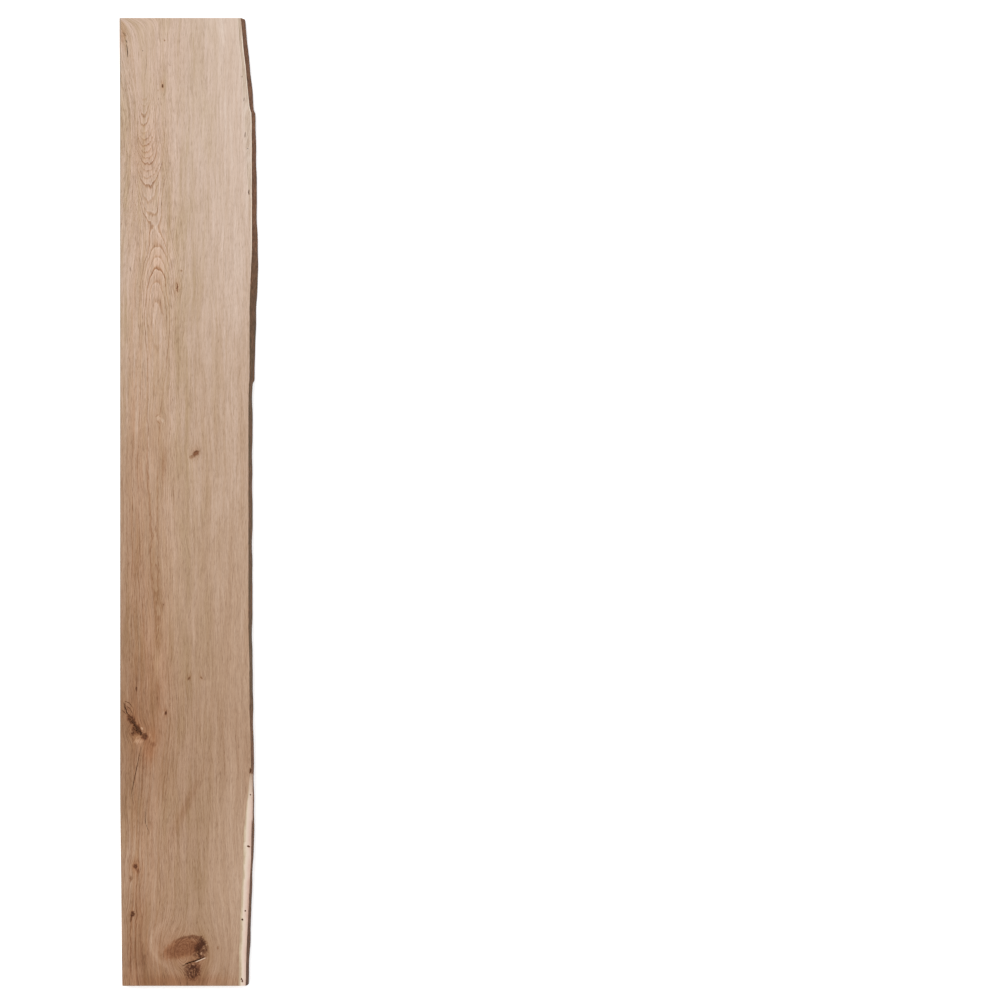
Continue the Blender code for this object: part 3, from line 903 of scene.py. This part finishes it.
def oak_material():
    """Raw planed oak with its live edge: rings, pores, fibres, knots, cracks, facets and bark."""
    paper = Paper("oak")
    step, mix, noise, part = paper.step, paper.mix, paper.noise, paper.part
    grain, rings, shade, edge = (paper.marks(name) for name in ("grain", "rings", "shade", "edge"))
    solid = paper.node("ShaderNodeTexCoord", {}, {}, "Object")
    place = paper.vector("MULTIPLY_ADD", solid, (1000, -1000, 1000), (centre, LENGTH / 2, 0))
    across = part(place, "X")
    down = part(place, "Y")
    height = part(place, "Z")
    ring, zigzag, bold = (part(rings, axis) for axis in "XYZ")
    brown, red, sunk = (part(shade, axis) for axis in "XYZ")
    inward, facet, bright = (part(edge, axis) for axis in "XYZ")

    # Fibres and streaks that run along the grain
    tremble = noise(place, (16, 32, 16), seed=19.6)
    grain = paper.vector("ADD", grain, paper.node("ShaderNodeCombineXYZ", {}, {"X": tremble * 0.7}))
    jag = noise(grain, (1.6, 26, 3), detail=3, rough=0.6, seed=3.1)
    fibre = noise(grain, (0.9, 20, 0.9), detail=3, rough=0.65, seed=7.7)
    thread = noise(grain, (2.8, 44, 4), rough=0.55, seed=17.1)
    streak = noise(grain, (5.5, 150, 9), detail=3, rough=0.6, seed=1.9)
    band = noise(grain, (15, 380, 22), seed=5.3)
    patch = noise(grain, (26, 120, 40), detail=3, seed=9.4)
    mottle = noise(place, (4, 6, 4), detail=3, seed=2.2)
    curl = noise(place, (4.5, 4.5, 4.5), detail=3, seed=6.1, warp=0.8)
    pore = noise(grain, (0.9, 14, 0.9), detail=1, seed=4.4)
    fleck = noise(grain, (0.9, 8, 0.9), detail=3, rough=0.65, seed=23.8)
    # Light and dark pairs beside each fibre, from the same noise a little aside: painted light and shade of
    # the fibres' relief
    beside = paper.vector("ADD", grain, (0.35, 0.3, 0))
    fleck_beside = noise(beside, (0.9, 8, 0.9), detail=3, rough=0.65, seed=23.8)
    relief_light_and_shade = fleck - fleck_beside
    hair = noise(grain, (2.8, 85, 4), detail=3, rough=0.6, seed=29.2)
    hair = step(abs(hair), 0.11, 0.02) * step(fibre, -0.8, 0.2)

    # Year rings: a dark open band at the start of each, fading into denser, paler wood
    turned = ring + zigzag * jag * 0.6 + jag * 0.12 + tremble * 0.25
    which = paper.math("FLOOR", turned)
    share = paper.math("FRACT", turned)
    chance = paper.node("ShaderNodeTexWhiteNoise", {"noise_dimensions": "1D"}, {"W": which})
    early = step(share, 0.42, 0.08) * step(share, 0.0, 0.06)
    fading = noise(rings, (1.6, 9, 9), detail=1, seed=21.4)
    beat = paper.math("COSINE", (which - BOLD_RING) * (2 * math.pi / BOLD_EVERY)) * 0.5 + 0.5
    strong = (0.25 + beat * beat * (0.35 + chance * 0.5) + chance * chance * 0.3) * (0.9 + fading * 0.5)
    late = step(share, 0.72, 0.98) * bold
    open_grain = step(pore, -0.5, 0.6)
    lines = early * strong * bold * (0.5 + open_grain * 0.6) * (1 - step(down, 90, 15) * 0.45)
    pores = step(pore, 0.25, 0.7) * (0.45 + early * 0.55)

    coarse = (0.6 + bold * 0.7) * (1 - step(across, 150, 230) * step(down, 420, 250) * 0.3)
    # The fine grain: pores, fibres, hairs and threads, with painted light and shade of the fibres' relief
    fine_grain_and_shade = (pores * 0.42 + fibre * 0.15 + relief_light_and_shade * 0.34 + hair * 0.38 + thread * 0.15) * coarse
    dark = brown + lines * 0.9 - late * 0.12 + fine_grain_and_shade * 0.5
    dark = dark + streak * 0.15 + band * 0.13 + patch * 0.07 + mottle * 0.04 - 0.10
    tan_side = step(across, 125, 25) * step(across, 5, 30) * step(down, 150, 900)

    # Small dark spots, broken by the fibres
    for *oval, amount in SPOTS:
        spot = paper.ring_of(place, *oval)
        dark = dark + step(spot + curl * 0.5 + fibre * 0.15, 1.3, 0.35) * amount

    # Fine turning wood in the knot at the head end, and the grain that dives from under it
    head = paper.ring_of(place, *HEAD_WHORL)
    in_head = step(head + mottle * 0.12, 1.1, 0.85)
    whorl = step(paper.math("SINE", head * 40 + curl * 6), 0.1, 1.0)
    dive = down - across * 0.25 - (across / 30) ** 3.0 * 22
    arcs = step(paper.math("SINE", dive * 2.3 + curl * 3.2), 0.1, 1.0) * step(mottle, -0.7, 0.5)
    under_head = step(dive, 49, 54) * step(dive + mottle * 4, 86, 66) * step(across, 36, 24)
    dark = dark + in_head * (whorl * 0.34 + curl * 0.22 + 0.08) + under_head * arcs * 0.3

    # Knot near the foot: a red oval, with a dark broken heart at its right, and a crack with a painted
    # highlight along its lip
    foot = paper.ring_of(place, *FOOT_OVAL)
    in_foot = step(foot + curl * 0.2 + mottle * 0.2, 1.15, 0.6)
    rim = step(abs(foot + curl * 0.14 - 0.98), 0.22, 0.03)
    rim = rim * step(down - across * 0.1, 1925, 1900) * step(across, 100, 130)
    coils = paper.math("SINE", foot * 24 + curl * 2.2) * 0.5 + 0.5
    dark = dark + in_foot * (0.42 + coils * 0.05 + curl * 0.25 + jag * 0.12) + rim * 0.55
    heart = paper.math("MINIMUM", *(paper.ring_of(place, *oval) for oval in FOOT_HEARTS))
    crumbs = noise(place, (2.2, 2.6, 2.2), detail=3, rough=0.65, seed=12.5)
    clods = noise(place, (4.6, 6.0, 4.6), detail=3, rough=0.6, seed=31.6, warp=0.5)
    in_heart = step(heart + curl * 0.4 + clods * 0.35, 1.45, 0.55)
    dark = dark + in_heart * (0.80 + clods * 1.5 + crumbs * 0.6)
    from_crack = down + across * LIP_SLANT - LIP_LINE
    # Painted highlight along the crack's lower lip
    lip = step(abs(from_crack - 2.8 + mottle * 0.3 + curl * 0.2), 1.3, 0.4)
    lip = lip * step(across, 153, 160) * step(across, 179, 174) * 0.9
    turning = paper.ring_of(place, *FOOT_BEND)
    turning = step(abs(turning + mottle * 0.03 - 1.0), 0.13, 0.0)
    dark = dark - turning * step(across, 112, 84) * step(down, 1850, 1905) * 0.17
    wavy = abs(across - WAVY_LINE + tremble * 4 + curl * 0.8)
    wavy = step(wavy, 2.6, 0.4) * step(down, 1856, 1880) * step(down, 1990, 1960)
    dark = dark + wavy * (0.32 + fibre * 0.3)

    # End grain takes in more light, and the saw leaves faint marks on the sawn side. Within a few millimetres
    # of the sawn side the oak is darker and grey: partly the sawn wood's own grey, partly painted shade along
    # the board's top edge there.
    ends = step(paper.math("MINIMUM", down, LENGTH - down), 0.7, 0.2)
    from_saw = across - 2.5 * step(down, 1600, 2000)
    sawn = step(from_saw + mottle * 0.4, 2.6, 0.7)
    teeth = noise(place, (60, 1.6, 60), seed=8.8)
    dark = dark + ends * (0.22 + fibre * 0.1 + early * 0.55)
    dark = dark + sawn * (0.10 + teeth * 0.08 + thread * 0.2 + streak * 0.15)

    # The oak's own colour, greener or redder in places
    oak = paper.ramp(dark, OAK_COLOURS)
    # The fine grain darkens red, green and blue alike: partly the wood's own pores and fibres, partly painted
    # shade of their relief
    oak = paper.vector("MULTIPLY", oak, paper.math("EXPONENT", fine_grain_and_shade * -0.45))
    green = step(patch * 0.6 + streak * 0.4 + band * 0.5, -0.4, 0.9)
    pink_side = step(across, 150, 235)
    oak = mix(green * (0.5 - pink_side * 0.42), oak, GREEN_TINT, "MULTIPLY")
    ruddy = in_foot * 0.8 + in_head * 0.15 + wavy * 0.3 + lines * 0.3
    reddish = paper.math("ADD", red + tan_side * (0.16 + streak * 0.45), ruddy, clamp=True)
    oak = mix(reddish, oak, RED_TINT, "MULTIPLY")
    # Grey by the sawn side, most at its top edge: the sawn wood's own grey and painted edge shade
    oak = mix(sawn * (0.4 + step(height, 24.5, 25.8) * 0.3), oak, seen(SAWN_GREY_AND_EDGE_SHADE))
    oak = mix(ends * 0.4, oak, seen(END_BROWN))
    oak = mix(lip, oak, seen(LIP_HIGHLIGHT))

    # Facets that the drawknife left: beige and streaked near the head end, where its strokes cross
    # the grain at the step in the edge, and bright sapwood near the foot
    slant = (0, 0, math.radians(STROKE_TURN))
    slanted = paper.node("ShaderNodeMapping", {}, {"Vector": place, "Rotation": slant})
    strokes = noise(slanted, (7, 110, 12), rough=0.4, seed=11.3)
    scored = step(abs(strokes - 0.1), 0.13, 0.03)
    from_start = facet + jag * 0.5 + streak * 0.5
    on_facet = step(from_start, -0.3, 0.5) * step(height, 15, 20)
    cut_zone = step(down, 140, 180) * step(down, 330, 285)
    # Streaks on the head facet, with painted light and shade of the fibres' relief
    knifed = step(streak + thread * 0.7 + fibre * 0.9 + relief_light_and_shade * 1.4 + pores * 0.6, -0.6, 1.0)
    upper = mix(knifed, seen(FACET_PALE), seen(FACET_STREAK))
    upper = mix(cut_zone * step(strokes, -0.6, 0.8) * 0.4, upper, seen(FACET_STROKE))
    upper = mix(scored * cut_zone * 0.7, upper, seen(FACET_SCORE))
    # Painted highlight along the facet's start, where it meets the face
    arris_highlight = step(abs(from_start - 0.5), 0.9, 0.2)
    upper = mix(arris_highlight, upper, seen(FACET_ARRIS_HIGHLIGHT))
    meander = noise(place, (30, 42, 30), seed=33.3)
    across_facet = facet + streak * 2.0 + meander * 3.2 + mottle * 1.2 + step(down, 1740, 1560) * 3.0
    lower = paper.ramp(across_facet, FACET_COLOURS)
    whole = step(down, 430, 300)
    oak = mix(on_facet * whole * (0.85 - cut_zone * 0.3 + streak * 0.25), oak, upper)
    oak = mix(on_facet * bright, oak, lower)
    fuzz = step(inward + jag * 0.7 + mottle * 0.5, -3.2, -1.9) * step(height, 15, 20)
    fuzz = fuzz * step(down, 25, 50) * step(down, 560, 430)
    oak = mix(fuzz * (0.9 + patch * 0.4), oak, seen(FUZZ_PALE))

    # Cracks darken quickly below the face
    gone = step(sunk, 0.05, 1.6)
    pit = mix(step(sunk, 0.6, 3.0), seen(PIT_SHALLOW), seen(PIT_DEEP))
    pit = mix(step(crumbs, 0.1, 1.0) * 0.45, pit, seen(PIT_CRUMB))
    oak = mix(gone, oak, pit)

    # Bark film over the live edge, ragged where it meets the face
    strand = noise(place, (1.6, 11, 2.2), detail=3, rough=0.7, seed=13.7)
    flake = noise(place, (1.8, 3.4, 1.8), detail=4, rough=0.7, seed=14.2)
    blotch = noise(place, (40, 75, 8), seed=15.9)
    bare = step(down, 1556, 1570) * step(down, 1700, 1600) * step(height + jag, 14, 19)
    film = inward + 0.75 + jag * 0.35 + flake * 0.25 - bare * 2.0
    bark_mask = step(film, -0.05, 0.2)
    bark = mix(step(strand, -0.5, 0.6), seen(BARK_DARK), seen(BARK_LIGHT))
    lichen = step(down, 400, 640) * step(down, 1480, 1380)
    lichen = lichen * step(blotch + flake * 0.3, -0.9, 0.4)
    for cover, tone in (
        # Painted highlights on the raised flakes, and painted shade in the hollows between them, where the
        # bump rises and sinks
        (step(flake, 0.25, 0.9) * 0.7, BARK_FLAKE_HIGHLIGHT),
        (step(flake, -0.25, -0.8) * 0.75, BARK_HOLLOW_SHADE),
        (step(blotch, 0.0, 0.9) * 0.3, BARK_BLOTCH),
        (lichen * 0.6, BARK_LICHEN),
        # Painted shade low on the live edge, towards the floor where it turns in
        (step(height + flake * 2.5, 8.0, 1.5) * 0.7, BARK_LOW_SHADE),
        (step(down, 1500, 1900) * 0.45, BARK_AT_FOOT),
    ):
        bark = mix(cover, bark, seen(tone))
    colour = mix(bark_mask, oak, bark)

    # Relief, in shares of the bump's height, and roughness
    relief = fleck * 0.5 - pores * 0.55 - early * bold * 0.15 + teeth * sawn * 0.5 + crumbs * gone * 1.2
    relief = relief + on_facet * strokes * 0.5 + in_head * whorl * 0.3
    relief = relief * (1 - bark_mask) + (strand * 0.8 + flake * 1.1) * bark_mask
    bump = paper.node("ShaderNodeBump", {}, {"Height": relief, "Strength": 0.6, "Distance": 0.0003})
    rough = 0.66 + pores * 0.1 + bark_mask * 0.16 - bright * on_facet * 0.08
    sockets = {"Base Color": colour, "Roughness": rough, "Normal": bump, "Specular IOR Level": 0.12}
    shader = paper.node("ShaderNodeBsdfPrincipled", {}, sockets)
    paper.node("ShaderNodeOutputMaterial", {}, {"Surface": shader})
    return paper.material


def floor_material():
    """White floor that a lamp behind it lifts a little, as a studio's light table does."""
    paper = Paper("white_floor")
    sockets = {
        "Base Color": (0.95, 0.95, 0.95, 1), "Roughness": 0.9, "Specular IOR Level": 0.0,
        "Emission Color": (1, 1, 1, 1), "Emission Strength": FLOOR_GLOW,
    }
    shader = paper.node("ShaderNodeBsdfPrincipled", {}, sockets)
    paper.node("ShaderNodeOutputMaterial", {}, {"Surface": shader})
    return paper.material


def make_stage():
    """Floor, soft light from all round with a broad key light, and the camera."""
    scene = bpy.context.scene
    corners = [(x * FLOOR_REACH, y * FLOOR_REACH, 0) for x, y in ((-1, -1), (1, -1), (1, 1), (-1, 1))]
    floor = new_mesh("floor", corners, [(0, 1, 2, 3)])
    floor.data.materials.append(floor_material())

    world = bpy.data.worlds.new("studio")
    world.use_nodes = True
    sky = world.node_tree.nodes["Background"]
    sky.inputs["Color"].default_value = (1.0, 1.0, 1.0, 1.0)
    sky.inputs["Strength"].default_value = SKY_STRENGTH
    scene.world = world

    lamp = bpy.data.lights.new("key_light", "SUN")
    lamp.energy = KEY_STRENGTH
    lamp.angle = math.radians(KEY_WIDTH)
    key = bpy.data.objects.new("key_light", lamp)
    key.rotation_euler = (*np.radians(KEY_TURN).tolist(), 0)
    scene.collection.objects.link(key)

    view = bpy.data.cameras.new("camera")
    view.sensor_width = SENSOR
    view.lens = SENSOR * (CAMERA_HEIGHT - THICKNESS * MM) / PICTURE_WIDTH
    view.clip_end = 100.0
    camera = bpy.data.objects.new("camera", view)
    camera.location = (*CAMERA_PLACE, CAMERA_HEIGHT)
    scene.collection.objects.link(camera)
    scene.camera = camera
    scene.view_settings.view_transform = "Standard"


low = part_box("plank")[0]
centre = float(curve(SAWN_LINE, np.array(EASE))) - low[0] / MM
plank = make_plank()
plank.data.materials.append(oak_material())
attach(plank, "root")
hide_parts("plank")
make_stage()
